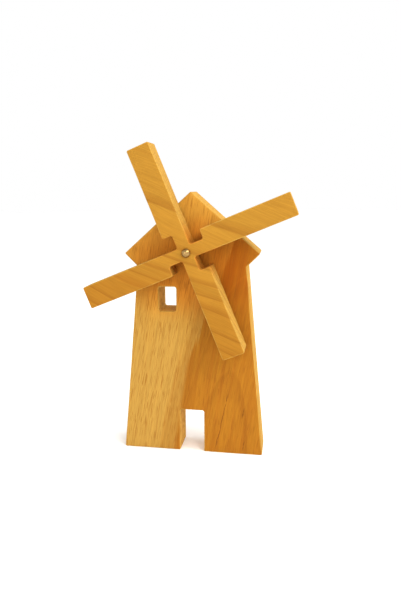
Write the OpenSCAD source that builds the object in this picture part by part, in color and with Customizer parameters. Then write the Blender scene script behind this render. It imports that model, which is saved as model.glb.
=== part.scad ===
// Desk windmill: a board-cut tower with a one-piece, four-blade sail that spins on a round-head pin.
// Millimetres. X runs across the face, +Y goes from the sail back through the boards, Z is up.
// The origin is on the table, under the centre of the whole model's box.

/* [Tower board] */
// Height of the tower from the table to the roof's peak
tower_h = 150; // [140:1:200]
// Width of the tower at the table
base_w = 81; // [70:0.5:110]
// Width of the tower just under the eaves
shoulder_w = 61.5; // [52:0.5:66]
// Thickness of the tower board
board_t = 20; // [15:0.5:30]

/* [Roof] */
// Width across the two eave tips
roof_w = 76; // [70:0.5:100]
// Height of the eave tips above the table
eave_h = 116; // [105:0.5:125]
// Slope of the cut under each eave, from the vertical
eave_cut = 45; // [30:1:60]

/* [Door] */
// Width of the doorway
door_w = 14; // [10:0.5:20]
// Height of the doorway
door_h = 25; // [15:0.5:40]

/* [Window] */
// Width of the window
window_w = 10; // [6:0.5:14]
// Height of the window
window_h = 14; // [8:0.5:18]
// Height of the window's sill above the table
sill_h = 83; // [60:0.5:88]
// Distance from the tower's centre line to the middle of the window
window_x = 13.75; // [11:0.25:17]

/* [Sail] */
// Height of the sail's axis above the table
axis_h = 118; // [105:0.5:125]
// Length of each blade from the axis to its tip
blade_l = 61; // [40:0.5:75]
// Width of each blade
blade_w = 12.5; // [10:0.5:18]
// Width of the narrow arm that joins each blade to the hub
arm_w = 7; // [6:0.25:9]
// Distance from the axis to the shoulder where the blade widens
shoulder_r = 11.3; // [9:0.1:20]
// Thickness of the sail board
sail_t = 16; // [10:0.5:20]
// Angle at which the sail stands, anticlockwise from level
sail_angle = 22; // [0:1:89]

/* [Pivot pin and washer] */
// Diameter of the pin's shank
pin_d = 3; // [2:0.1:4]
// Length of the pin under its head
pin_l = 32; // [25:0.5:36]
// Diameter of the pin's round head
head_d = 4.8; // [4.5:0.1:6.5]
// Height of the pin's round head
head_h = 2.2; // [1.5:0.1:2.8]
// Height of the straight rim under the head's dome
rim_h = 0.5; // [0.3:0.1:1]
// Length of the pin's point
point_l = 3; // [2:0.5:5]
// Outside diameter of the washer between the sail and the tower
washer_d = 7; // [6:0.1:8]
// Thickness of that washer
washer_t = 1; // [0.5:0.1:2]

/* [Fits] */
// Play between the pin and the bore of the sail, on the radius
running_gap = 0.08; // [0.02:0.01:0.1]
// Play between the pin and the bore of the washer, on the radius
washer_gap = 0.2; // [0.1:0.05:0.4]
// Play at each face of the sail, along the pin
end_gap = 0.15; // [0.1:0.05:0.3]
// How much smaller than the pin its hole in the tower is, on the radius
pin_grip = 0.03; // [0.01:0.01:0.1]
// Room left beyond the pin's point in its blind hole
hole_room = 0.5; // [0.2:0.1:2]

/* [Sawn corners] */
// Radius that the saw leaves in an inside corner
inside_r = 1.2; // [0.5:0.1:1.5]
// Radius that sanding leaves on an outside corner
outside_r = 0.8; // [0.2:0.1:1.2]

/* [Hidden] */
$fn = 64;
blades = 4;
corner_steps = 5;
cut_past = 1;

// The eave cuts run down and in from the eave tips to the tower's sides.
shoulder_h = eave_h - (roof_w - shoulder_w) / 2 / tan(eave_cut);

// Everything that is threaded on the pin in front of the tower, from the washer to the top of the dome.
stack_t = washer_t + end_gap + sail_t + end_gap + head_h;
tower_front = (stack_t - board_t) / 2;
tower_back = tower_front + board_t;
sail_back = tower_front - washer_t - end_gap;
head_seat = sail_back - sail_t - end_gap;

// Corners are [x, z, radius]. Each is replaced by the arc that touches both of its edges.
function unit(v) = v / norm(v);
function flat(p) = [p[0], p[1]];
function turn(v, a) = [v[0] * cos(a) - v[1] * sin(a), v[0] * sin(a) + v[1] * cos(a)];
function corner_arc(before, at, after) =
    let (
        back = unit(flat(before) - flat(at)),
        on = unit(flat(after) - flat(at)),
        opening = acos(back * on),
        side = sign(back[0] * on[1] - back[1] * on[0]),
        start = flat(at) + back * at[2] / tan(opening / 2),
        centre = flat(at) + unit(back + on) * at[2] / sin(opening / 2)
    )
    [for (i = [0:corner_steps]) centre + turn(start - centre, -side * (180 - opening) * i / corner_steps)];
function rounded(corners) =
    let (n = len(corners))
    [for (i = [0:n - 1]) each corner_arc(corners[(i + n - 1) % n], corners[i], corners[(i + 1) % n])];

// The tower's outline, anticlockwise from the foot on the right, with the doorway cut up into it.
function tower_corners() = [
    [base_w / 2, 0, outside_r],
    [shoulder_w / 2, shoulder_h, outside_r],
    [roof_w / 2, eave_h, outside_r],
    [0, tower_h, outside_r],
    [-roof_w / 2, eave_h, outside_r],
    [-shoulder_w / 2, shoulder_h, outside_r],
    [-base_w / 2, 0, outside_r],
    [-door_w / 2, 0, outside_r],
    [-door_w / 2, door_h, inside_r],
    [door_w / 2, door_h, inside_r],
    [door_w / 2, 0, outside_r]
];

function window_corners() = [
    for (corner = [[-1, 0], [1, 0], [1, 1], [-1, 1]])
        [-window_x + corner[0] * window_w / 2, sill_h + corner[1] * window_h, inside_r]
];

// One blade, laid along +x: out along its straight edge, across the tip, and back in to the arm.
function blade_corners() = [
    [arm_w / 2, -arm_w / 2, inside_r],
    [blade_l, -arm_w / 2, outside_r],
    [blade_l, blade_w - arm_w / 2, outside_r],
    [shoulder_r, blade_w - arm_w / 2, outside_r],
    [shoulder_r, arm_w / 2, inside_r]
];

function sail_corners() = [
    for (i = [0:blades - 1], corner = blade_corners())
        [each turn(flat(corner), i * 360 / blades), corner[2]]
];

// Stands a flat outline up as a board whose front face is at y = front.
module board(front, thickness)
    translate([0, front + thickness, 0])
        rotate([90, 0, 0])
            linear_extrude(thickness)
                children();

// A round bar or bore on the sail's axis, from y = front back through length.
module on_axis(front, length, radius)
    translate([0, front + length, axis_h])
        rotate([90, 0, 0])
            cylinder(h = length, r = radius);

module tower_board()
    color("burlywood")
        difference() {
            board(tower_front, board_t) difference() {
                polygon(rounded(tower_corners()));
                polygon(rounded(window_corners()));
            }
            on_axis(
                tower_front - cut_past,
                cut_past + head_seat + pin_l + hole_room - tower_front,
                pin_d / 2 - pin_grip
            );
        }

module sail_cross()
    color("goldenrod")
        difference() {
            board(sail_back - sail_t, sail_t)
                translate([0, axis_h])
                    rotate(sail_angle)
                        polygon(rounded(sail_corners()));
            on_axis(sail_back - sail_t - cut_past, sail_t + 2 * cut_past, pin_d / 2 + running_gap);
        }

// A round-head pin: a dome on a short rim, a plain shank, and a pointed end.
module pivot_pin()
    color("lightgray") {
        dome_h = head_h - rim_h;
        dome_r = (pow(head_d / 2, 2) + pow(dome_h, 2)) / (2 * dome_h);
        translate([0, head_seat, axis_h])
            rotate([90, 0, 0])
                union() {
                    intersection() {
                        cylinder(h = head_h, r = head_d / 2);
                        translate([0, 0, head_h - dome_r]) sphere(r = dome_r);
                    }
                    translate([0, 0, point_l - pin_l]) cylinder(h = pin_l - point_l, r = pin_d / 2);
                    translate([0, 0, -pin_l]) cylinder(h = point_l, r1 = 0, r2 = pin_d / 2);
                }
    }

module spacer_washer()
    color("silver")
        difference() {
            on_axis(tower_front - washer_t, washer_t, washer_d / 2);
            on_axis(tower_front - washer_t - cut_past, washer_t + 2 * cut_past, pin_d / 2 + washer_gap);
        }

tower_board();
sail_cross();
pivot_pin();
spacer_washer();
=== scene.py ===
# %% [markdown]
# # A board-cut toy windmill
#
# The toy is two sawn beech boards, a round-head pin and a washer. The thick board is the tower, with
# its roof, doorway and window sawn from one outline. The other is the sail, four blades in one piece,
# which spins on the pin. This lesson builds each piece again with the finish that sanding, oiling and
# handling give it, around a frame that already fixes every size and place.
#
# Everything is in metres. X runs across the face, Y from the sail back through the boards, Z is up.

# %% Load the frame
import math
from collections import Counter

import bmesh
import bpy
import numpy as np
from mathutils import Matrix, Vector, noise
from mathutils.geometry import delaunay_2d_cdt


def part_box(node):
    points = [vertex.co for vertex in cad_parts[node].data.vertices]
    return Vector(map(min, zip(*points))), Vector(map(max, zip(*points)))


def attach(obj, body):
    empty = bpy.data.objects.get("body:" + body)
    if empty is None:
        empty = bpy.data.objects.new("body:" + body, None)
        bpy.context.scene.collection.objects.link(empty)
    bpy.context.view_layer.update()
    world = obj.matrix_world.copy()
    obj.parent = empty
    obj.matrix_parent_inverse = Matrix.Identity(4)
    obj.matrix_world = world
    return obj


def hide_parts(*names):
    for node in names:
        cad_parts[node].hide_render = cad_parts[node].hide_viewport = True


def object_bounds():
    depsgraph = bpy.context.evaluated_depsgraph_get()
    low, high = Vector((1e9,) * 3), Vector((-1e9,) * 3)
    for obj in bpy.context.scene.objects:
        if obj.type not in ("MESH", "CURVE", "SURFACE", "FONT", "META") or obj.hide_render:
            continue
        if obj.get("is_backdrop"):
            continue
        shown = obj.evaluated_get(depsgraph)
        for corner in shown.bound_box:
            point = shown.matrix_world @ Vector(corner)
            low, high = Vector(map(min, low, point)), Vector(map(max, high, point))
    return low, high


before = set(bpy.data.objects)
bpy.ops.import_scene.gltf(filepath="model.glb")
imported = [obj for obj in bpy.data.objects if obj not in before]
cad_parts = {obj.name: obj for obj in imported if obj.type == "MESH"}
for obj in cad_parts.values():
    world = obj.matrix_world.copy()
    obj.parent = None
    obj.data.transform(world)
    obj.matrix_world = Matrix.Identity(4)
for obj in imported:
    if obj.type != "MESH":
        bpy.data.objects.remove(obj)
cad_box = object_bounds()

MM = 0.001
tower_low, tower_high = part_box("tower_board")
sail_low, sail_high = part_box("sail_cross")
pin_low, pin_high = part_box("pivot_pin")
washer_low, washer_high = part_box("spacer_washer")
axis_z = (pin_low.z + pin_high.z) / 2
print(f"tower {(tower_high - tower_low) / MM}, sail {(sail_high - sail_low) / MM} mm")

# %% [markdown]
# ## Camera
#
# The toy is seen from a little above and to its right, from about a forearm's length away, so the
# right-hand edges of the boards show and the nearer blade looks longer. A camera on its own would be
# turned with an "aim at" constraint, but a turn, a tilt and a roll in degrees are easier to read and
# to change one at a time. The small sideways shift frames the toy without turning the camera to it.

# %% Place the camera
CAMERA_AT = Vector((53.8, -336.2, 150.8)) * MM
CAMERA_TURN = math.radians(12.04)
CAMERA_TILT = math.radians(-10.17)
CAMERA_ROLL = math.radians(-0.90)
SENSOR_WIDTH = 36.0
LENS_LENGTH = 36.82
SIDEWAYS_SHIFT = 0.067
NEAREST_SEEN = 10 * MM


def put_in_scene(name, data):
    """Makes an object of a mesh, a lens or a lamp, and puts it in the scene."""
    thing = bpy.data.objects.new(name, data)
    bpy.context.scene.collection.objects.link(thing)
    return thing


def add_camera():
    """Makes the camera. It starts level, looking along +Y, and is rolled, tilted and turned from there."""
    lens = bpy.data.cameras.new("camera")
    lens.sensor_width = SENSOR_WIDTH
    lens.lens = LENS_LENGTH
    lens.shift_x = SIDEWAYS_SHIFT
    lens.clip_start = NEAREST_SEEN
    camera = put_in_scene("camera", lens)
    level = Matrix.Rotation(math.radians(90), 4, "X")
    roll = Matrix.Rotation(-CAMERA_ROLL, 4, "Y")
    tilt = Matrix.Rotation(CAMERA_TILT, 4, "X")
    turn = Matrix.Rotation(CAMERA_TURN, 4, "Z")
    camera.matrix_world = Matrix.Translation(CAMERA_AT) @ turn @ tilt @ roll @ level
    bpy.context.scene.camera = camera
    return camera


camera = add_camera()
print(f"camera {camera.data.lens} mm at {CAMERA_AT / MM} mm")

# %% [markdown]
# ## Reading the boards' outlines
#
# A sawn board is one outline pushed straight through. The frame holds that outline already, as the rim
# of the flat face that looks forwards. Reading the rim from the frame's mesh, and not typing it again,
# keeps the piece on the frame's size whatever that is. A rim edge is one that only a single triangle of
# the face uses, and following rim edges from corner to corner gives closed loops: the outside first,
# then each hole.

# %% Find the loops round a board's face
WELD = 0.005 * MM


def chained(edges):
    """Sorts loose pairs of corners into closed loops of (x, z) points."""
    beside = {}
    for a, b in edges:
        beside.setdefault(a, []).append(b)
        beside.setdefault(b, []).append(a)
    loops = []
    while beside:
        first = min(beside)
        loop = [first]
        here = beside.pop(first)[0]
        while here != first:
            loop.append(here)
            options = beside.pop(here)
            here = next(corner for corner in options if corner != loop[-2])
        loops.append(loop)
    return loops


def signed_area(loop):
    """Positive where a loop runs anticlockwise as seen from the front."""
    x, z = np.array(loop).T
    return 0.5 * float(np.sum(x * np.roll(z, -1) - np.roll(x, -1) * z))


def face_loops(node):
    """The rims of a board's front face. The outside runs anticlockwise and each hole clockwise."""
    bm = bmesh.new()
    bm.from_mesh(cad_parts[node].data)
    bmesh.ops.remove_doubles(bm, verts=bm.verts, dist=WELD)
    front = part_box(node)[0].y
    face = [f for f in bm.faces if all(abs(v.co.y - front) < WELD for v in f.verts)]
    uses = Counter(edge for f in face for edge in f.edges)
    rim = [edge for edge, count in uses.items() if count == 1]
    pairs = [tuple((round(v.co.x, 7), round(v.co.z, 7)) for v in edge.verts) for edge in rim]
    bm.free()
    loops = sorted(chained(pairs), key=lambda loop: -abs(signed_area(loop)))
    outside, holes = loops[0], loops[1:]
    outside = outside if signed_area(outside) > 0 else outside[::-1]
    return [outside] + [hole if signed_area(hole) < 0 else hole[::-1] for hole in holes]


tower_loops = face_loops("tower_board")
sail_loops = face_loops("sail_cross")
print(f"tower rims {[len(loop) for loop in tower_loops]}, sail rims {[len(loop) for loop in sail_loops]}")

# %% [markdown]
# ## An eased, hand-sanded board
#
# A board straight off the saw has edges that cut the hand, so the maker rubs each arris to a small
# round. Hand sanding is never quite even: the round is wider here and narrower there, and the flat
# faces dip by a hair. A bevel modifier gives a perfectly even round, which looks machined. Here the
# board is built as rings instead: each rim is stepped inwards and backwards along a quarter circle
# whose radius wanders slowly, then straight through the thickness, and the faces are filled with
# small even triangles that can follow the dips.
#
# Each corner of the rings also gets four marks that the finish reads later: whether it is on a
# rounded arris, whether it is on a sawn side, how far round the rim it lies, and whether it is on a wall
# of a recess such as the doorway, the window or a notch of the sail. A corner has that last mark where
# there is wood both to the left and to the right of the air beside it. The tower's colour paints such
# walls paler: painted light that stands in for the light falling into the recess.

# %% Walk round a rim with evenly spaced points
MESH_STEP = 2.4 * MM


def spaced(loop, step):
    """Adds points to the long sides of a loop and leaves its round corners as they are."""
    points = []
    for here, after in zip(loop, loop[1:] + loop[:1]):
        here, after = np.array(here), np.array(after)
        parts = max(1, round(float(np.linalg.norm(after - here)) / step))
        points += [here + (after - here) * i / parts for i in range(parts)]
    return np.array(points)


def inward(points):
    """At each point of a rim, the step into the wood that moves both of its sides in by one."""
    ahead = np.roll(points, -1, axis=0) - points
    ahead /= np.linalg.norm(ahead, axis=1, keepdims=True)
    left = np.stack([-ahead[:, 1], ahead[:, 0]], axis=1)
    both = left + np.roll(left, 1, axis=0)
    share = 1 + np.sum(left * np.roll(left, 1, axis=0), axis=1, keepdims=True)
    return both / share


print(f"the tower's outline is walked in {len(spaced(tower_loops[0], MESH_STEP))} points")

# %% Say how the sanding wanders
EASE_STEPS = 5
EASE_MIDDLE = 0.85
EASE_SWING = 0.45
EASE_LENGTH = 15 * MM
DIP = 0.07 * MM
DIP_LENGTH = 21 * MM


def wandering(x, z, length, seed):
    """Slow unevenness, between about -1 and 1, that changes over the length given."""
    return noise.noise(Vector((x / length, seed, z / length)))


def dip(x, z, seed):
    """How far sanding has sunk a face at a point, between nothing and DIP."""
    return DIP * (0.5 + 0.5 * wandering(x, z, DIP_LENGTH, seed))


def ease_at(x, z, width, seed):
    """The radius of the rounded arris at a point of the rim."""
    return width * (EASE_MIDDLE + EASE_SWING * wandering(x, z, EASE_LENGTH, seed))


print(f"sanding sinks a face by {dip(0, axis_z, 0) / MM:.3f} mm at the pin, and by {DIP / MM} mm at most")


# %% Plan the rings of a wall
def ring_plan(front, back, ease):
    """Each ring as (share of the ease it is stepped in by, depth, share of its own ease), front to back."""
    turns = [math.pi / 2 * i / EASE_STEPS for i in range(EASE_STEPS + 1)]
    lead_in = [(1 - math.sin(t), 1 - math.cos(t)) for t in turns]
    wall_front = front + 2 * ease
    wall_depth = back - front - 4 * ease
    walls = max(2, round(wall_depth / MESH_STEP))
    rings = [(step, front, depth) for step, depth in lead_in]
    rings += [(0.0, wall_front + wall_depth * i / walls, 0.0) for i in range(walls + 1)]
    rings += [(step, back, -depth) for step, depth in reversed(lead_in)]
    return rings


print(f"a wall through the tower takes {len(ring_plan(tower_low.y, tower_high.y, MM))} rings")


# %% Tell wood from air
def crossings(point, loop):
    """Where a level line through a point crosses a loop, as distances along X."""
    x, z = np.array(loop).T
    x2, z2 = np.roll(x, -1), np.roll(z, -1)
    spans = (z > point[1]) != (z2 > point[1])
    return (x + (point[1] - z) * (x2 - x) / np.where(spans, z2 - z, 1.0))[spans]


def in_notch(air, loop):
    """True for a spot beside the wood that has wood both to its left and to its right."""
    across = crossings(air, loop)
    return bool(np.any(across < air[0]) and np.any(across > air[0]))


def inside(point, loops):
    """True where a point is in the outline and in no hole, by counting the crossings to its right."""
    count = sum(int(np.sum(crossings(point, loop) > point[0])) for loop in loops)
    return count % 2 == 1


print(f"the middle of the doorway is wood: {inside((0, 5 * MM), tower_loops)}")

# %% Build the wall under a rim
# The last mark finds recess walls, which the tower's colour paints paler as painted light.
MARKS = ("arris", "side", "run", "recess_wall")
BESIDE = 0.2 * MM


def add_rim(bm, loop, front, back, ease, seed):
    """Builds the wall under one rim. Gives back its first and last rings of vertices."""
    points = spaced(loop, MESH_STEP)
    inwards = inward(points)
    run = np.concatenate([[0], np.cumsum(np.linalg.norm(np.roll(points, -1, axis=0) - points, axis=1))])
    recess = [in_notch(point - step * BESIDE, loop) for point, step in zip(points, inwards)]
    arris, side, along, recess_wall = (bm.verts.layers.float[mark] for mark in MARKS)
    rings = []
    for share, base, depth in ring_plan(front, back, ease):
        ring = []
        for i, (point, step) in enumerate(zip(points, inwards)):
            width = ease_at(point[0], point[1], ease, seed)
            x, z = point + step * width * share
            vert = bm.verts.new((x, base + width * depth, z))
            vert[arris] = 1.0 if 0 < share < 1 else 0.0
            vert[side] = 0.0 if share == 1 else 1.0
            vert[along] = run[i] / MM
            # Recess walls get the mark where their colour is painted lighter, standing in for light.
            vert[recess_wall] = 1.0 if recess[i] and share == 0 else 0.0
            ring.append(vert)
        rings.append(ring)
    for upper, lower in zip(rings, rings[1:]):
        for i in range(len(upper)):
            j = (i + 1) % len(upper)
            bm.faces.new((upper[i], lower[i], lower[j], upper[j]))
    return rings[0], rings[-1]


print("marks on each corner:", ", ".join(MARKS))

# %% Fill a flat face with small even triangles
CLEAR_OF_RIM = 0.6 * MESH_STEP
KEEP_INSIDE = 1
SAME_POINT = 1e-9


def grid_inside(rims):
    """A staggered grid of points that are on the face and clear of its rims."""
    low, high = rims[0].min(axis=0), rims[0].max(axis=0)
    corners = np.concatenate(rims)
    columns, rows = ((high - low) / MESH_STEP).astype(int)
    grid = []
    for row in range(1, rows + 1):
        for column in range(1, columns + 1):
            point = low + np.array([column - 0.5 * (row % 2), row]) * MESH_STEP
            clear = np.min(np.sum((corners - point) ** 2, axis=1)) > CLEAR_OF_RIM**2
            if clear and inside(point, rims):
                grid.append(point)
    return grid


def fill_face(bm, rings, forwards):
    """Joins the rings of one face with triangles over the grid."""
    rims = [np.array([(v.co.x, v.co.z) for v in ring]) for ring in rings]
    depth = rings[0][0].co.y
    verts = [v for ring in rings for v in ring]
    verts += [bm.verts.new((x, depth, z)) for x, z in grid_inside(rims)]
    sides = []
    start = 0
    for rim in rims:
        sides += [(start + i, start + (i + 1) % len(rim)) for i in range(len(rim))]
        start += len(rim)
    flat = [Vector((v.co.x, v.co.z)) for v in verts]
    _, _, triangles, origins, _, _ = delaunay_2d_cdt(flat, sides, [], KEEP_INSIDE, SAME_POINT)
    for corners in triangles:
        chosen = [verts[origins[c][0]] for c in corners]
        centre = sum((Vector((v.co.x, v.co.z)) for v in chosen), Vector((0, 0))) / 3
        # The fill covers the holes as well, so triangles over a hole are dropped.
        if not inside(centre, rims):
            continue
        if not forwards:
            chosen.reverse()
        bm.faces.new(chosen)


print(f"triangles are about {MESH_STEP / MM} mm wide")


# %% Finish a shape
def smooth_piece(name, bm):
    """Turns a shape into an object with smooth shading, its faces looking outwards."""
    bmesh.ops.recalc_face_normals(bm, faces=bm.faces)
    mesh = bpy.data.meshes.new(name)
    bm.to_mesh(mesh)
    bm.free()
    mesh.polygons.foreach_set("use_smooth", [True] * len(mesh.polygons))
    print(f"{name}: {len(mesh.vertices)} vertices, {len(mesh.polygons)} faces")
    return put_in_scene(name, mesh)


# %% Put rims and faces together
BORE_ACROSS = 4 * MM
BORE_EASE = 0.15 * MM
BACK_SEED = 7


def sanded_board(name, node, loops, ease, seed, blind=None):
    """A board with eased edges and slightly uneven faces. A blind hole is closed at the depth given."""
    front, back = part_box(node)[0].y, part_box(node)[1].y
    bm = bmesh.new()
    for mark in MARKS:
        bm.verts.layers.float.new(mark)
    fronts, backs = [], []
    for loop in loops:
        is_bore = math.sqrt(abs(signed_area(loop))) < BORE_ACROSS
        is_blind = is_bore and blind is not None
        width = BORE_EASE if is_bore else ease
        first, last = add_rim(bm, loop, front, blind if is_blind else back, width, seed)
        fronts.append(first)
        if is_blind:
            bm.faces.new(last)
        else:
            backs.append(last)
    fill_face(bm, fronts, True)
    fill_face(bm, backs, False)
    for vert in bm.verts:
        share = (vert.co.y - front) / (back - front)
        x, z = vert.co.x, vert.co.z
        vert.co.y += (1 - share) * dip(x, z, seed) - share * dip(x, z, seed + BACK_SEED)
    return smooth_piece(name, bm)


# %% [markdown]
# ## The tower and the sail
#
# Both boards go through the same steps. The tower's arrises are eased a little more, because that is
# where the toy is held. The pin's hole in the tower is blind, and its bottom is where the frame has the
# deepest corner inside the board near the axis.

# %% Make both boards
TOWER_EASE = 0.7 * MM
SAIL_EASE = 0.5 * MM
NEAR_AXIS = 2 * MM


def hole_bottom(node):
    """How deep a blind hole on the sail's axis goes, read from the frame's own corners."""
    corners = [v.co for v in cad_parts[node].data.vertices]
    return max(co.y for co in corners if math.hypot(co.x, co.z - axis_z) < NEAR_AXIS)


blind_depth = hole_bottom("tower_board")
print(f"the pin's hole goes {(blind_depth - tower_low.y) / MM:.1f} mm into the tower")

tower = sanded_board("tower", "tower_board", tower_loops, TOWER_EASE, 3.0, blind_depth)
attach(tower, "tower")
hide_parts("tower_board")

sail = sanded_board("sail", "sail_cross", sail_loops, SAIL_EASE, 11.0)
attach(sail, "sail")
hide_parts("sail_cross")

# %% [markdown]
# ## Turned pieces
#
# The pin and the washer are round, so each is drawn as half of its section, a short list of radius and
# depth, and spun about the sail's axis. The pin's section is worked out: the dome is an arc through the
# rim and the crown, the shank carries a few shallow gripping rings where the hammer's jaws held the
# wire, and the point tapers to nothing. It could be a cylinder with a sphere on it, but then there is
# no rim, no flat under the head and no point.

# %% Spin a section about the sail's axis
SPIN_STEPS = 48


def turned(name, section, closed):
    """Spins (radius, depth) points about the axis. A closed section makes a ring, an open one a solid."""
    bm = bmesh.new()
    rings = []
    for radius, depth in section:
        if radius < WELD:
            rings.append([bm.verts.new((0, depth, axis_z))])
            continue
        ring = []
        for i in range(SPIN_STEPS):
            angle = 2 * math.pi * i / SPIN_STEPS
            ring.append(bm.verts.new((radius * math.cos(angle), depth, axis_z + radius * math.sin(angle))))
        rings.append(ring)
    pairs = list(zip(rings, rings[1:]))
    if closed:
        pairs.append((rings[-1], rings[0]))
    for a, b in pairs:
        for i in range(SPIN_STEPS):
            j = (i + 1) % SPIN_STEPS
            corners = [a[i % len(a)], a[j % len(a)], b[j % len(b)], b[i % len(b)]]
            bm.faces.new(list(dict.fromkeys(corners)))
    return smooth_piece(name, bm)


# %% Draw the pin's section
HEAD_RADIUS = pin_high.x
SHANK_RADIUS = 1.5 * MM
HEAD_HEIGHT = 2.2 * MM
RIM_HEIGHT = 0.5 * MM
RIM_CORNER = 0.12 * MM
DOME_STEPS = 12
GRIP_START = 2 * MM
GRIP_RINGS = 5
GRIP_PITCH = 0.7 * MM
GRIP_REACH = 0.2 * MM
GRIP_DEPTH = 0.07 * MM
POINT_LENGTH = 3 * MM
TIP_LENGTH = 0.4 * MM
TIP_RADIUS = 0.35 * MM


def pin_section():
    """Half of the pin's section, from the crown of the dome to the point."""
    crown = pin_low.y
    seat = crown + HEAD_HEIGHT
    rise = HEAD_HEIGHT - RIM_HEIGHT
    dome_radius = (HEAD_RADIUS**2 + rise**2) / (2 * rise)
    widest = math.asin(HEAD_RADIUS / dome_radius)
    section = []
    for i in range(DOME_STEPS + 1):
        angle = widest * i / DOME_STEPS
        section.append((dome_radius * math.sin(angle), crown + dome_radius * (1 - math.cos(angle))))
    section += [(HEAD_RADIUS, seat - RIM_CORNER), (HEAD_RADIUS - RIM_CORNER, seat), (SHANK_RADIUS, seat)]
    for i in range(GRIP_RINGS):
        middle = tower_low.y + GRIP_START + i * GRIP_PITCH
        section.append((SHANK_RADIUS, middle - GRIP_REACH))
        section.append((SHANK_RADIUS - GRIP_DEPTH, middle))
        section.append((SHANK_RADIUS, middle + GRIP_REACH))
    section.append((SHANK_RADIUS, pin_high.y - POINT_LENGTH))
    section.append((TIP_RADIUS, pin_high.y - TIP_LENGTH))
    section.append((0.0, pin_high.y))
    return section


pin = turned("pin", pin_section(), False)
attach(pin, "tower")
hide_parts("pivot_pin")

# %% [markdown]
# A washer is punched from sheet, which rolls one edge over and leaves the other sharp. Its section is a
# small rectangle with the two front corners rounded.

# %% Draw the washer's section
WASHER_BORE = 1.7 * MM
ROLLED = 0.25 * MM
SHARP = 0.04 * MM
CORNER_STEPS = 3


def washer_section():
    """The washer's whole section, front corners rolled over and back corners nearly square."""
    front, back, outside = washer_low.y, washer_high.y, washer_high.x
    section = []
    for radius, depth, turn_from, size in (
        (outside - ROLLED, front + ROLLED, 0, ROLLED),
        (WASHER_BORE + ROLLED, front + ROLLED, 90, ROLLED),
        (WASHER_BORE + SHARP, back - SHARP, 180, SHARP),
        (outside - SHARP, back - SHARP, 270, SHARP),
    ):
        for i in range(CORNER_STEPS + 1):
            angle = math.radians(turn_from + 90 * i / CORNER_STEPS)
            section.append((radius + size * math.cos(angle), depth - size * math.sin(angle)))
    return section


washer = turned("washer", washer_section(), True)
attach(washer, "tower")
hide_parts("spacer_washer")

# %% [markdown]
# ## Small helpers for shader nodes
#
# Wood is built here from node groups, and each group is a few sums on numbers that change over the
# board. A few helpers keep those sums readable: one starts a group with named sockets, one does
# arithmetic, one blends two colours, and the rest read noise, ramps and coordinates.

# %% Start a group, do sums, blend colours
def new_group(name, inputs, outputs):
    """An empty shader node group. Its sockets are numbers, but for a Position, which is a vector."""
    tree = bpy.data.node_groups.new(name, "ShaderNodeTree")
    for in_out, labels in (("INPUT", inputs), ("OUTPUT", outputs)):
        for label in labels:
            kind = "NodeSocketVector" if label == "Position" else "NodeSocketFloat"
            tree.interface.new_socket(name=label, in_out=in_out, socket_type=kind)
    print(f"group {name}: {', '.join(outputs)}")
    return tree, tree.nodes.new("NodeGroupInput").outputs, tree.nodes.new("NodeGroupOutput").inputs


def feed(tree, socket, source):
    """Links a socket to its source, or sets it where the source is a plain value."""
    if isinstance(source, bpy.types.NodeSocket):
        tree.links.new(source, socket)
    else:
        socket.default_value = source


def hand_out(tree, give, values):
    """Links what a group has worked out to its outputs."""
    for label, source in values.items():
        tree.links.new(source, give[label])


def sums(tree, operation, *values):
    """One step of arithmetic."""
    node = tree.nodes.new("ShaderNodeMath")
    node.operation = operation
    for socket, value in zip(node.inputs, values):
        feed(tree, socket, value)
    return node.outputs[0]


def times(tree, first, second):
    """One number times another."""
    return sums(tree, "MULTIPLY", first, second)


def blend(tree, share, first, second, mode="MIX"):
    """Blends two colours by a share that changes over the surface."""
    node = tree.nodes.new("ShaderNodeMix")
    node.data_type = "RGBA"
    node.blend_type = mode
    for label, source in (("Factor_Float", share), ("A_Color", first), ("B_Color", second)):
        socket = next(s for s in node.inputs if s.identifier == label)
        feed(tree, socket, source)
    return next(s for s in node.outputs if s.identifier == "Result_Color")


# %% Read noise, ramps and coordinates
def noise_at(tree, vector, scale=1.0, detail=2.0, roughness=0.5):
    """Smooth noise between 0 and 1 at a vector."""
    node = tree.nodes.new("ShaderNodeTexNoise")
    node.noise_dimensions = "3D"
    feed(tree, node.inputs["Vector"], vector)
    node.inputs["Scale"].default_value = scale
    node.inputs["Detail"].default_value = detail
    node.inputs["Roughness"].default_value = roughness
    return node.outputs[0]


def centred_noise(tree, vector, scale=1.0, detail=1.0):
    """Smooth noise between -0.5 and 0.5, for pushing a number either way."""
    return sums(tree, "SUBTRACT", noise_at(tree, vector, scale, detail), 0.5)


def ramp(tree, value, low, high, to_low=0.0, to_high=1.0):
    """Turns the stretch from low to high into a smooth step."""
    node = tree.nodes.new("ShaderNodeMapRange")
    node.interpolation_type = "SMOOTHSTEP"
    labels = ("Value", "From Min", "From Max", "To Min", "To Max")
    for label, source in zip(labels, (value, low, high, to_low, to_high)):
        feed(tree, node.inputs[label], source)
    return node.outputs[0]


def combined(tree, x, y, z):
    """A vector from three numbers."""
    node = tree.nodes.new("ShaderNodeCombineXYZ")
    for socket, value in zip(node.inputs, (x, y, z)):
        feed(tree, socket, value)
    return node.outputs[0]


def separated(tree, vector):
    """The three numbers of a vector."""
    node = tree.nodes.new("ShaderNodeSeparateXYZ")
    tree.links.new(vector, node.inputs[0])
    return node.outputs


def distance(tree, a, b):
    """How long a step of a one way and b the other way is."""
    squares = sums(tree, "MULTIPLY_ADD", a, a, times(tree, b, b))
    return sums(tree, "SQRT", squares)


# %% Start a material, find a spot on it, place a group, raise its surface
def new_material(name):
    """A material with its node tree and its shader."""
    material = bpy.data.materials.new(name)
    material.use_nodes = True
    return material, material.node_tree, material.node_tree.nodes["Principled BSDF"]


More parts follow.
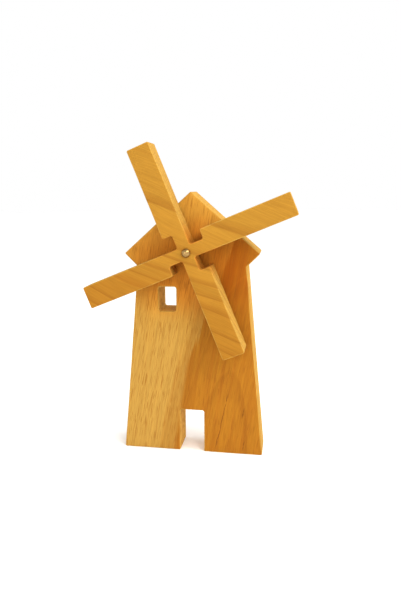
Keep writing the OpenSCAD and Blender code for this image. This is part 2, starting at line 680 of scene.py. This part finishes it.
def place_in_mm(tree):
    """Where a spot lies, in millimetres, along the same X, Y and Z as the whole toy at rest."""
    where = tree.nodes.new("ShaderNodeTexCoord")
    scale = tree.nodes.new("ShaderNodeVectorMath")
    scale.operation = "SCALE"
    scale.inputs["Scale"].default_value = 1 / MM
    tree.links.new(where.outputs["Object"], scale.inputs[0])
    return scale.outputs[0]


def place_group(tree, group, values):
    """Puts a group into a material with its own values, and gives back its outputs by name."""
    node = tree.nodes.new("ShaderNodeGroup")
    node.node_tree = group
    for label, source in values.items():
        feed(tree, node.inputs[label], source)
    return node.outputs


def raise_surface(tree, shader, height, strength, relief):
    """Bump on the shader, from a height that changes over the surface."""
    bump = tree.nodes.new("ShaderNodeBump")
    bump.inputs["Strength"].default_value = strength
    bump.inputs["Distance"].default_value = relief
    tree.links.new(height, bump.inputs["Height"])
    tree.links.new(bump.outputs[0], shader.inputs["Normal"])


print(f"materials measure in millimetres, {MM} of a Blender unit")

# %% [markdown]
# ## Where in the log is this point?
#
# Grain on a real board is the same on the face, down the edges and through the end, because a board is
# a slice of a tree. A flat picture of grain can't do that. So the first group answers one question: for
# a point on the board, where was it in the log? It turns the board until its grain runs up Z, lets the
# trunk wander a little, and measures how far the point is from the pith. Rings, rays and fibres are all
# drawn from its answers.

# %% Group: Log Place
BENDS_ACROSS = 0.022
BENDS_ALONG = 0.011


def make_log_place():
    group, put, give = new_group(
        "Log Place",
        ["Position", "Grain Turn", "Pith Across", "Pith Depth", "Pith Tilt", "Wander", "Seed"],
        ["Across", "Depth", "Along", "Radius"],
    )
    rotate = group.nodes.new("ShaderNodeVectorRotate")
    rotate.rotation_type = "Y_AXIS"
    group.links.new(put["Position"], rotate.inputs["Vector"])
    group.links.new(put["Grain Turn"], rotate.inputs["Angle"])
    across, depth, along = separated(group, rotate.outputs[0])
    slow = combined(
        group,
        sums(group, "MULTIPLY_ADD", across, BENDS_ACROSS, put["Seed"]),
        times(group, depth, BENDS_ACROSS),
        times(group, along, BENDS_ALONG),
    )
    across = sums(group, "MULTIPLY_ADD", centred_noise(group, slow), put["Wander"], across)
    pith_now = sums(group, "MULTIPLY_ADD", along, put["Pith Tilt"], put["Pith Depth"])
    from_x = sums(group, "SUBTRACT", across, put["Pith Across"])
    from_y = sums(group, "SUBTRACT", depth, pith_now)
    radius = distance(group, from_x, from_y)
    hand_out(group, give, {"Across": across, "Depth": depth, "Along": along, "Radius": radius})
    return group


log_place = make_log_place()

# %% [markdown]
# ## Growth rings
#
# Each year a beech lays down pale wood in spring and a thin darker line in late summer. The distance
# from the pith, divided by the width of a year and cut to its fraction, is a saw wave with one tooth a
# year. Years aren't equal, so slow noise stretches the count, and each whole year gets a tone of its own.

# %% Group: Growth Rings
LATE_BEGINS = 0.58
LATE_DARKEST = 0.94
STRETCH_PACE = 0.11


def make_growth_rings():
    group, put, give = new_group(
        "Growth Rings",
        ["Radius", "First Year", "Year Width", "Unevenness", "Seed"],
        ["Late Line", "Year Tone"],
    )
    grown = sums(group, "SUBTRACT", put["Radius"], put["First Year"])
    years = sums(group, "DIVIDE", grown, put["Year Width"])
    slow = combined(group, times(group, put["Radius"], STRETCH_PACE), put["Seed"], 0.0)
    years = sums(group, "MULTIPLY_ADD", centred_noise(group, slow), put["Unevenness"], years)
    part = sums(group, "FRACT", years)
    rise = ramp(group, part, LATE_BEGINS, LATE_DARKEST)
    fall = ramp(group, part, LATE_DARKEST, 1.0, 1.0, 0.0)
    own = group.nodes.new("ShaderNodeTexWhiteNoise")
    own.noise_dimensions = "1D"
    group.links.new(sums(group, "ADD", sums(group, "FLOOR", years), put["Seed"]), own.inputs["W"])
    late = times(group, rise, fall)
    hand_out(group, give, {"Late Line": late, "Year Tone": own.outputs["Value"]})
    return group


growth_rings = make_growth_rings()

# %% [markdown]
# ## Ray flecks
#
# What makes beech look like beech are its rays: thin upright plates that run from the bark inwards. On
# a flat-sawn face their ends are short dark dashes, and on a board's edge their sides are wider, silky
# patches. Noise squeezed across the grain, long up it and deep into it gives both at once, and keeping
# only its peaks leaves separate dashes.

# %% Group: Ray Flecks
RAY_DEPTH = 0.22
LONELY_PEAK = 0.72
PEAK_DROP = 0.2
DASH_EDGE = 0.05
SILKY = (0.35, 0.65)


def make_ray_flecks():
    group, put, give = new_group(
        "Ray Flecks",
        ["Across", "Depth", "Along", "Dash Width", "Dash Height", "Crowding", "Seed"],
        ["Fleck", "Silk"],
    )
    cell = combined(
        group,
        sums(group, "DIVIDE", put["Across"], put["Dash Width"]),
        sums(group, "MULTIPLY_ADD", put["Depth"], RAY_DEPTH, put["Seed"]),
        sums(group, "DIVIDE", put["Along"], put["Dash Height"]),
    )
    value = noise_at(group, cell, scale=0.5, detail=1.0, roughness=0.4)
    peak = sums(group, "SUBTRACT", LONELY_PEAK, times(group, put["Crowding"], PEAK_DROP))
    fleck = ramp(group, value, peak, sums(group, "ADD", peak, DASH_EDGE))
    hand_out(group, give, {"Fleck": fleck, "Silk": ramp(group, value, *SILKY)})
    return group


ray_flecks = make_ray_flecks()

# %% [markdown]
# ## Fibres and broad tone
#
# Between the rays the wood is long fibres, seen as faint hair-fine streaks, and across a hand's width
# the whole board drifts from straw to orange. One group draws both, and bands a few millimetres wide
# besides: fast noise drawn out along the grain for the streaks, slower noise for the rest.

# %% Group: Fibres
# Each is how fast its noise changes across the grain and along it, a seed, its detail and roughness.
FIBRE_MARKS = {
    "Streak": (2.6, 0.06, 0.0, 3.0, 0.6),
    "Band": (0.42, 0.013, 5.0, 2.0, 0.5),
    "Drift": (0.05, 0.02, 9.0, 1.0, 0.5),
}


def make_fibres():
    group, put, give = new_group("Fibres", ["Across", "Depth", "Along", "Seed"], list(FIBRE_MARKS))
    for label, (fine, long, seed, detail, roughness) in FIBRE_MARKS.items():
        drawn_out = combined(
            group,
            sums(group, "MULTIPLY_ADD", put["Across"], fine, put["Seed"]),
            times(group, put["Depth"], fine),
            sums(group, "MULTIPLY_ADD", put["Along"], long, seed),
        )
        hand_out(group, give, {label: noise_at(group, drawn_out, 1.0, detail, roughness)})
    return group


fibres = make_fibres()

# %% [markdown]
# ## Gum lines
#
# Here and there the fibres hold a thin brown line of gum that follows the grain for a few centimetres.
# They are few, and each has its place, so each is drawn by itself: how far across the board it lies,
# how it leans, and where it starts and stops. Noise breaks it up, because gum seeps along pores.

# %% Group: Gum Line
GUM_TAPER = 4.0
GUM_SHAKE = 1.6
SEEPS = (0.27, 0.52)


def make_gum_line():
    group, put, give = new_group(
        "Gum Line", ["Across", "Along", "Line", "Lean", "From", "To", "Width"], ["Gum"]
    )
    path = sums(group, "MULTIPLY_ADD", put["Along"], put["Lean"], put["Line"])
    spot = combined(group, put["Across"], 0.0, put["Along"])
    shake = centred_noise(group, spot, scale=0.16, detail=2.0)
    path = sums(group, "MULTIPLY_ADD", shake, GUM_SHAKE, path)
    away = sums(group, "ABSOLUTE", sums(group, "SUBTRACT", put["Across"], path))
    core = ramp(group, away, 0.0, put["Width"], 1.0, 0.0)
    start = ramp(group, put["Along"], put["From"], sums(group, "ADD", put["From"], GUM_TAPER))
    stop = ramp(group, put["Along"], sums(group, "SUBTRACT", put["To"], GUM_TAPER), put["To"], 1.0, 0.0)
    seep = ramp(group, noise_at(group, spot, scale=0.45), *SEEPS)
    length = times(group, start, stop)
    hand_out(group, give, {"Gum": times(group, core, times(group, length, seep))})
    return group


gum_line = make_gum_line()

# %% [markdown]
# ## Painted shade behind the sail
#
# The sail's shadow falls on the face behind its hub, and this group marks where that shade is painted
# into the colour, darker and redder. The sail never stops at the same angle for long, so the mark has
# no edge. Light falls from above and the level blades shade most, so it is an oval, wider than high, a
# little under the pin. The walls in the corners of the sail's own hub get the same painted shade, so
# the sail uses the group too.

# %% Group: Painted Hub Shade
OVAL = 0.7
RAGGED_EDGE = 10.0
CORE_SHARE = 0.35
FACE_ONLY = (1.0, 5.0)


def make_painted_hub_shade():
    group, put, give = new_group("Painted Hub Shade", ["Position", "Middle Height", "Reach"], ["Painted Shade"])
    x, depth, z = separated(group, put["Position"])
    up = sums(group, "SUBTRACT", z, put["Middle Height"])
    away = distance(group, times(group, x, OVAL), up)
    ragged = centred_noise(group, put["Position"], scale=0.06)
    away = sums(group, "MULTIPLY_ADD", ragged, RAGGED_EDGE, away)
    near = ramp(group, away, times(group, put["Reach"], CORE_SHARE), put["Reach"], 1.0, 0.0)
    face = ramp(group, depth, *FACE_ONLY, 1.0, 0.0)
    # Where the painted shade lies: full near the middle, gone by the reach, and only at the front of the
    # boards.
    hand_out(group, give, {"Painted Shade": times(group, near, face)})
    return group


painted_hub_shade = make_painted_hub_shade()

# %% [markdown]
# ## Worked edges
#
# The four marks that the rings left on the mesh come back here as attributes. One group hands on the
# arris, the sawn side and the recess wall, and draws the fine ridges that a saw blade leaves straight
# through a board's thickness. Sanding took most of them out, so they are left in patches only.

# %% Group: Worked Edges
RIDGE_DRIFT = 0.06
PATCH_ALONG = 0.05
PATCH_DEEP = 0.1
PATCH_SEED = 4.0
LEFT_IN = (0.35, 0.65)


def make_worked_edges():
    group, put, give = new_group(
        "Worked Edges", ["Position", "Ridges"], ["Arris", "Side", "Recess_Wall", "Saw Height"]
    )
    marks = {}
    for label in MARKS:
        node = group.nodes.new("ShaderNodeAttribute")
        node.attribute_name = label
        marks[label] = node.outputs["Fac"]
    _, depth, _ = separated(group, put["Position"])

    def over_side(along, deep, seed):
        return combined(group, times(group, marks["run"], along), times(group, depth, deep), seed)

    teeth = over_side(put["Ridges"], RIDGE_DRIFT, 0.0)
    patches = over_side(PATCH_ALONG, PATCH_DEEP, PATCH_SEED)
    left_in = ramp(group, noise_at(group, patches), *LEFT_IN)
    height = times(group, noise_at(group, teeth), left_in)
    height = times(group, height, marks["side"])
    kept = {label.title(): marks[label] for label in ("arris", "side", "recess_wall")}
    hand_out(group, give, {**kept, "Saw Height": height})
    return group


worked_edges = make_worked_edges()

# %% [markdown]
# ## Oiled beech
#
# The two boards are the same timber and finish, cut from different places in the log, so one function
# makes both materials and each board brings its own values. Colours are mixed in this order: the
# board's broad tone, its redder heart, the paler sawn sides, painted light on the recess walls, the
# years, the bands, painted shade round the hub, the streaks, the flecks and the gum.

# %% Colours of oiled beech
STRAW = (0.390, 0.215, 0.041, 1)
HONEY = (0.465, 0.226, 0.030, 1)
AMBER = (0.325, 0.155, 0.0178, 1)
TOFFEE = (0.310, 0.128, 0.0122, 1)
HEART = (0.314, 0.118, 0.0070, 1)
HEART_DEEP = (0.270, 0.086, 0.0045, 1)
LATE_BROWN = (0.190, 0.058, 0.005, 1)
FLECK_BROWN = (0.200, 0.065, 0.007, 1)
GUM_BROWN = (0.145, 0.044, 0.006, 1)
SAWN_PALE = (0.420, 0.240, 0.045, 1)
# Painted light: the paler colour of recess walls, standing in for light falling into them.
PAINTED_RECESS_LIGHT = (0.650, 0.365, 0.072, 1)
# The painted shade round the hub multiplies the colour by this, making it darker and redder.
PAINTED_SHADE_TINT = (1.000, 0.690, 0.420, 1)


def toned(tree, colour, mark, darkest, lightest):
    """A colour made darker or lighter by a mark between 0 and 1."""
    tone = sums(tree, "MULTIPLY_ADD", mark, lightest - darkest, darkest)
    return blend(tree, 1.0, colour, combined(tree, tone, tone, tone), "MULTIPLY")


print(f"straw {STRAW[:3]}, heart {HEART[:3]}, russet multiplies by {PAINTED_SHADE_TINT[:3]}")

# %% [markdown]
# The groups go in first. Flecks come twice, fine dashes and fewer bold ones, and both are fainter on the
# sawn sides, where the rays show their flat faces. A board's values say how it lay in the log, and how
# strong each mark is. Those that go straight into a group carry the names of its sockets.

# %% Place the groups on a board
FINE_DASH = {"Dash Width": 0.20, "Dash Height": 4.2, "Seed": 0.0}
BOLD_DASH = {"Dash Width": 0.27, "Dash Height": 7.5, "Seed": 8.0}
FINE_SHARE = 0.6
LOST_ON_SIDES = -0.6
RIDGES_PER_MM = 1.5
UPRIGHT = 90


def find_marks(tree, place):
    """Every mark that the groups find at a spot on a board."""
    position = place_in_mm(tree)
    seed = {"Seed": place["seed"]}
    turn = math.radians(place["grain"] - UPRIGHT)
    log = place_group(tree, log_place, {"Position": position, "Grain Turn": turn, **place["log"], **seed})
    rings = place_group(tree, growth_rings, {"Radius": log["Radius"], **place["rings"], **seed})
    spot = {label: log[label] for label in ("Across", "Depth", "Along")}
    fine = place_group(tree, ray_flecks, {**spot, **FINE_DASH, "Crowding": place["fine_crowding"]})
    bold = place_group(tree, ray_flecks, {**spot, **BOLD_DASH, "Crowding": place["bold_crowding"]})
    edges = place_group(tree, worked_edges, {"Position": position, "Ridges": RIDGES_PER_MM})
    dashes = sums(tree, "MAXIMUM", times(tree, fine["Fleck"], FINE_SHARE), bold["Fleck"])
    on_face = sums(tree, "MULTIPLY_ADD", edges["Side"], LOST_ON_SIDES, 1.0)
    return {
        "log": log,
        "rings": rings,
        "edges": edges,
        "fibre": place_group(tree, fibres, {**spot, **seed}),
        "fleck": times(tree, dashes, on_face),
        "silk": bold["Silk"],
        # Painted shade round the hub, where the sail's shadow falls.
        "painted_shade": place_group(tree, painted_hub_shade, {"Position": position, **place["shade"]})["Painted Shade"],
    }


print(f"fine dashes {FINE_DASH['Dash Height']} mm long, bold ones {BOLD_DASH['Dash Height']} mm")

# %% [markdown]
# The tower holds some of the log's heart, a redder core with a clear border that follows the rings. A
# faint halo lies outside the border, and left of the doorway the heart is paler. The border is a ramp
# on the distance from the pith, and the bands of the grain push it in and out.

# %% Mix the broad tone and the heart
HEART_EDGE = 0.7
HEART_RAGGED = 7.0
HALO_BEGINS = 2.0
HALO_ENDS = 4.4
HALO_STRENGTH = 0.33
PALER_HEART = 0.4
DEEP_BANDS = (0.35, 0.7)


def tone_and_heart(tree, marks, place):
    """A board's broad colour with its heart in it, and a mask of where the heart is."""
    log, fibre = marks["log"], marks["fibre"]
    drift = sums(tree, "SUBTRACT", fibre["Drift"], 0.5)
    drift = sums(tree, "MULTIPLY_ADD", drift, place["drift"], log[place["warms_with"]])
    colour = blend(tree, ramp(tree, drift, *place["warm_between"]), place["pale"], place["warm"])
    bands = sums(tree, "SUBTRACT", fibre["Band"], 0.5)
    ragged = sums(tree, "MULTIPLY_ADD", bands, HEART_RAGGED, log["Radius"])
    border = place["heart_radius"]
    heart = ramp(tree, ragged, border - HEART_EDGE, border + HEART_EDGE, 1.0, 0.0)
    halo = ramp(tree, ragged, border + HALO_BEGINS, border + HALO_ENDS, HALO_STRENGTH, 0.0)
    full = ramp(tree, log["Across"], *place["heart_fade"], PALER_HEART, 1.0)
    share = sums(tree, "MAXIMUM", times(tree, heart, full), halo)
    share = times(tree, share, place["heart_strength"])
    heart_colour = blend(tree, ramp(tree, fibre["Band"], *DEEP_BANDS), HEART_DEEP, HEART)
    return blend(tree, share, colour, heart_colour), heart


print(f"the heart's border is {2 * HEART_EDGE} mm wide, its halo ends {HALO_ENDS} mm outside it")

# %% [markdown]
# Everything else is laid over that. A mark that only makes the wood lighter or darker, such as a
# year's tone or a streak, multiplies the colour. One with a colour of its own, such as a fleck or a
# gum line, is blended in by its strength.

# %% Lay the marks over it
SAWN_SHARE = 0.8
DARK_BANDS = (0.50, 0.72)


def beech_colour(tree, marks, place):
    """The whole colour of a board."""
    edges, fibre = marks["edges"], marks["fibre"]
    colour, heart = tone_and_heart(tree, marks, place)

    def laid_over(mark, strength, own):
        return blend(tree, times(tree, mark, strength), colour, own)

    colour = laid_over(edges["Side"], SAWN_SHARE, SAWN_PALE)
    # Painted light: the walls of the doorway and window are painted paler, standing in for light into them.
    colour = laid_over(edges["Recess_Wall"], place["painted_recess_light"], PAINTED_RECESS_LIGHT)
    colour = toned(tree, colour, marks["rings"]["Year Tone"], 0.95, 1.05)
    late = sums(tree, "MULTIPLY_ADD", heart, *place["late_strength"])
    colour = laid_over(marks["rings"]["Late Line"], late, LATE_BROWN)
    colour = toned(tree, colour, marks["silk"], 0.95, 1.05)
    colour = laid_over(ramp(tree, fibre["Band"], *DARK_BANDS), place["band_strength"], LATE_BROWN)
    # Painted shade: the zone round the hub is multiplied darker and redder where the sail's shadow falls.
    painted_shade = sums(tree, "MULTIPLY_ADD", edges["Side"], *place["painted_shade_strength"])
    painted_shade = times(tree, marks["painted_shade"], painted_shade)
    colour = blend(tree, painted_shade, colour, PAINTED_SHADE_TINT, "MULTIPLY")
    colour = toned(tree, colour, fibre["Streak"], 0.82, 1.18)
    colour = laid_over(marks["fleck"], place["fleck_strength"], FLECK_BROWN)
    log = {label: marks["log"][label] for label in ("Across", "Along")}
    for line in place["gum_lines"]:
        gum = place_group(tree, gum_line, {**log, **line})
        colour = blend(tree, gum["Gum"], colour, GUM_BROWN)
    return colour


print(f"sawn sides take {SAWN_SHARE:.0%} of the sawn colour")

# %% [markdown]
# Oil leaves a low sheen. It is a little duller in the open flecks, on the sawn sides and in the dark
# bands, and brighter on the arrises, where hands polish it. The relief is only what sanding leaves
# behind: fibres that stand up a little, flecks that sink, and what is left of the saw's ridges.

# %% One material function for both boards
SHEEN = 0.66
# What flecks, sawn sides, dark bands and arrises add to the roughness.
SHEEN_CHANGES = (0.10, 0.18, 0.16, -0.08)
OIL_SHINE = 0.04
FLECK_SINKS = -0.5
RIDGE_STANDS = 1.4
SANDED_RELIEF = 0.08 * MM


def oiled_beech(name, place):
    """A board's material. Place says how it was cut from the log and how strong each mark is."""
    material, tree, shader = new_material(name)
    marks = find_marks(tree, place)
    edges, fibre, fleck = marks["edges"], marks["fibre"], marks["fleck"]
    tree.links.new(beech_colour(tree, marks, place), shader.inputs["Base Color"])

    bands = sums(tree, "SUBTRACT", fibre["Band"], 0.5)
    dull = SHEEN
    for mark, change in zip((fleck, edges["Side"], bands, edges["Arris"]), SHEEN_CHANGES):
        dull = sums(tree, "MULTIPLY_ADD", mark, change, dull)
    tree.links.new(dull, shader.inputs["Roughness"])
    shader.inputs["Specular IOR Level"].default_value = OIL_SHINE

    height = sums(tree, "MULTIPLY_ADD", fleck, FLECK_SINKS, fibre["Streak"])
    height = sums(tree, "MULTIPLY_ADD", edges["Saw Height"], RIDGE_STANDS, height)
    raise_surface(tree, shader, height, 0.35, SANDED_RELIEF)
    print(f"{name}: {len(tree.nodes)} nodes")
    return material


# %% Cut the tower's board from the log
TOWER_PLACE = {
    "seed": 2.0,
    "grain": 81.0,
    "log": {"Pith Across": 15.0, "Pith Depth": -28.0, "Pith Tilt": -0.095, "Wander": 3.0},
    "rings": {"First Year": 28.1, "Year Width": 5.0, "Unevenness": 0.5},
    # Where the painted hub shade is centred, in mm up from the base, and how far it reaches.
    "shade": {"Middle Height": 107.5, "Reach": 35.5},
    "pale": STRAW,
    "warm": HONEY,
    "warms_with": "Along",
    "warm_between": (50.0, 125.0),
    "drift": 90.0,
    "heart_radius": 41.0,
    "heart_strength": 0.9,
    "heart_fade": (-11.5, -8.5),
    "fine_crowding": 0.68,
    "bold_crowding": 0.45,
    "fleck_strength": 0.70,
    "late_strength": (0.24, 0.10),
    "band_strength": 0.10,
    # Painted light on the walls of the doorway and window.
    "painted_recess_light": 0.85,
    # Painted hub shade on the faces only.
    "painted_shade_strength": (-0.9, 0.9),
    "gum_lines": [
        {"Line": 12.3, "Lean": 0.076, "From": 3.0, "To": 40.0, "Width": 0.35},
        {"Line": 25.3, "Lean": 0.0, "From": 25.0, "To": 33.0, "Width": 0.60},
        {"Line": 27.6, "Lean": 0.080, "From": 5.0, "To": 14.0, "Width": 0.40},
    ],
}
tower.data.materials.append(oiled_beech("tower beech", TOWER_PLACE))

# %% Cut the sail's board from the log
SAIL_PLACE = {
    "seed": 5.0,
    "grain": -25.0,
    "log": {"Pith Across": -150.0, "Pith Depth": 40.0, "Pith Tilt": 0.05, "Wander": 16.0},
    "rings": {"First Year": 0.0, "Year Width": 6.0, "Unevenness": 2.4},
    # Where the painted shade in the hub's corners is centred and how far it reaches.
    "shade": {"Middle Height": 118.0, "Reach": 19.0},
    "pale": AMBER,
    "warm": TOFFEE,
    "warms_with": "Across",
    "warm_between": (-140.0, -50.0),
    "drift": 60.0,
    "heart_radius": 20.0,
    "heart_strength": 0.0,
    "heart_fade": (-1.0, 1.0),
    "fine_crowding": 0.30,
    "bold_crowding": 0.0,
    "fleck_strength": 0.25,
    "late_strength": (0.0, 0.40),
    "band_strength": 0.12,
    # No painted light on the sail's recess walls.
    "painted_recess_light": 0.0,
    # Painted hub shade on the sawn walls only.
    "painted_shade_strength": (0.9, 0.0),
    "gum_lines": [],
}
sail.data.materials.append(oiled_beech("sail beech", SAIL_PLACE))

# %% [markdown]
# ## Plated steel
#
# The pin's dome is plated and has gone satin and warm with handling, and the washer is dull zinc. Both
# have the fine scratches that metal picks up, which run round a turned or punched piece. The scratches
# are noise stretched along the angle about the axis, so they circle the head, and the two materials
# share them as one group.

# %% Group: Round Scratches
SCRATCHED = (0.45, 0.75)


def make_round_scratches():
    group, put, give = new_group(
        "Round Scratches", ["Position", "Axis Height", "Fineness"], ["Scratch", "Smudge"]
    )
    x, depth, z = separated(group, put["Position"])
    up = sums(group, "SUBTRACT", z, put["Axis Height"])
    radius = distance(group, x, up)
    angle = sums(group, "ARCTAN2", up, x)
    lines = combined(group, times(group, radius, put["Fineness"]), angle, depth)
    scratch = ramp(group, noise_at(group, lines, detail=3.0, roughness=0.7), *SCRATCHED)
    smudge = noise_at(group, put["Position"], scale=0.9)
    hand_out(group, give, {"Scratch": scratch, "Smudge": smudge})
    return group


round_scratches = make_round_scratches()

# %% One material function for both metals
SCRATCH_RELIEF = 0.02 * MM


def plated_steel(name, bright, dark, sheen, fineness):
    """Plated metal with scratches that circle the sail's axis. Sheen is its roughness, low to high."""
    material, tree, shader = new_material(name)
    axis = {"Position": place_in_mm(tree), "Axis Height": axis_z / MM}
    marks = place_group(tree, round_scratches, {**axis, "Fineness": fineness})
    tree.links.new(blend(tree, marks["Smudge"], bright, dark), shader.inputs["Base Color"])
    tree.links.new(ramp(tree, marks["Scratch"], 0.0, 1.0, *sheen), shader.inputs["Roughness"])
    shader.inputs["Metallic"].default_value = 1.0
    raise_surface(tree, shader, marks["Scratch"], 0.15, SCRATCH_RELIEF)
    print(f"{name}: {len(tree.nodes)} nodes")
    return material


# %% Plate the pin and the washer
# Each is a bright and a dark colour, the roughness from low to high, and how fine the scratches are.
NICKEL = ((0.36, 0.225, 0.085, 1), (0.25, 0.15, 0.05, 1), (0.30, 0.45), 9.0)
ZINC = ((0.60, 0.61, 0.62, 1), (0.48, 0.49, 0.51, 1), (0.32, 0.55), 5.0)
pin.data.materials.append(plated_steel("nickel", *NICKEL))
washer.data.materials.append(plated_steel("zinc", *ZINC))

# %% [markdown]
# ## Floor and light
#
# A toy like this is lit for a catalogue, on a white table in a white room. The key lamp stands in
# front of the toy, above it and to its right. A side lamp, high up and nearly in line with the toy's
# face, makes the right-hand edges the brightest wood, and a low fill in front opens the shadows. They
# are area lights, because a sun or a spot would draw hard shadows, and a lamp's size against its
# distance sets how soft its shadow is. The room's own light does the rest.

# %% Lay the floor
FLOOR_HALF = 4.0
PAPER_WHITE = (0.93, 0.93, 0.93, 1)
PAPER_GREY = (0.90, 0.90, 0.90, 1)


def add_floor():
    """A wide white sheet under the toy, gently mottled like paper."""
    bm = bmesh.new()
    bmesh.ops.create_grid(bm, x_segments=8, y_segments=8, size=FLOOR_HALF)
    floor = smooth_piece("floor", bm)
    material, tree, shader = new_material("white paper")
    where = tree.nodes.new("ShaderNodeTexCoord")
    mottle = noise_at(tree, where.outputs["Object"], scale=40.0)
    tree.links.new(blend(tree, mottle, PAPER_WHITE, PAPER_GREY), shader.inputs["Base Color"])
    shader.inputs["Roughness"].default_value = 0.8
    shader.inputs["Specular IOR Level"].default_value = 0.1
    floor.data.materials.append(material)
    floor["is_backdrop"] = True


add_floor()


# %% Hang the lamps
WARM_WHITE = (1.0, 0.98, 0.95)
WARMER_WHITE = (1.0, 0.97, 0.93)
LAMPS = (
    ("key lamp", (0.45, -0.59, 0.71), 0.42, 4.4, WARM_WHITE),
    ("side lamp", (0.66, -0.12, 0.74), 0.45, 6.5, WARM_WHITE),
    ("front fill", (-0.30, -0.85, 0.16), 0.60, 2.6, WARMER_WHITE),
)
toy_middle = (cad_box[0] + cad_box[1]) / 2


def add_lamp(name, place, size, power, colour):
    """A square soft lamp at a place, turned to face the toy."""
    lamp = bpy.data.lights.new(name, "AREA")
    lamp.shape = "SQUARE"
    lamp.size = size
    lamp.energy = power
    lamp.color = colour
    holder = put_in_scene(name, lamp)
    holder.location = place
    holder.rotation_euler = (toy_middle - holder.location).to_track_quat("-Z", "Y").to_euler()
    print(f"{name}: {power} W, {(toy_middle - holder.location).length:.2f} m from the toy")


for lamp in LAMPS:
    add_lamp(*lamp)

# %% [markdown]
# The walls are a world background. They are brighter than the ceiling, so that they fill the upright
# faces and the far floor. The lens is shown a plain full white in their place, because walls that
# bright would be beyond white, and a dimmer room would leave the toy too dark.

# %% Light the room
WALLS = 1.6
CEILING = 0.90


def add_room():
    """White walls all round. They light the toy at their own strength, and the lens sees full white."""
    world = bpy.data.worlds.new("room")
    world.use_nodes = True
    tree = world.node_tree
    wall = tree.nodes["Background"]
    wall.inputs["Color"].default_value = (1, 1, 1, 1)
    where = tree.nodes.new("ShaderNodeTexCoord")
    height = separated(tree, where.outputs["Generated"])[2]
    tree.links.new(ramp(tree, height, 0.0, 1.0, WALLS, CEILING), wall.inputs["Strength"])
    seen = tree.nodes.new("ShaderNodeBackground")
    seen.inputs["Color"].default_value = (1, 1, 1, 1)
    seen.inputs["Strength"].default_value = 1.0
    ray = tree.nodes.new("ShaderNodeLightPath")
    either = tree.nodes.new("ShaderNodeMixShader")
    tree.links.new(ray.outputs["Is Camera Ray"], either.inputs[0])
    tree.links.new(wall.outputs[0], either.inputs[1])
    tree.links.new(seen.outputs[0], either.inputs[2])
    tree.links.new(either.outputs[0], tree.nodes["World Output"].inputs["Surface"])
    bpy.context.scene.world = world
    print(f"walls at {WALLS}, ceiling at {CEILING}")


add_room()
bpy.context.scene.view_settings.view_transform = "Standard"

# %% [markdown]
# ## Check the size and finish
#
# The finish must not change the toy's size, so the box of what is seen is compared with the box of the
# frame, and the most it reaches outside that box is printed.

# %% Compare both boxes and finish
visual_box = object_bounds()
grown = max(max(cad_box[0] - visual_box[0]), max(visual_box[1] - cad_box[1]))
print(f"the visual model is at most {grown / MM:.3f} mm outside the frame's box")
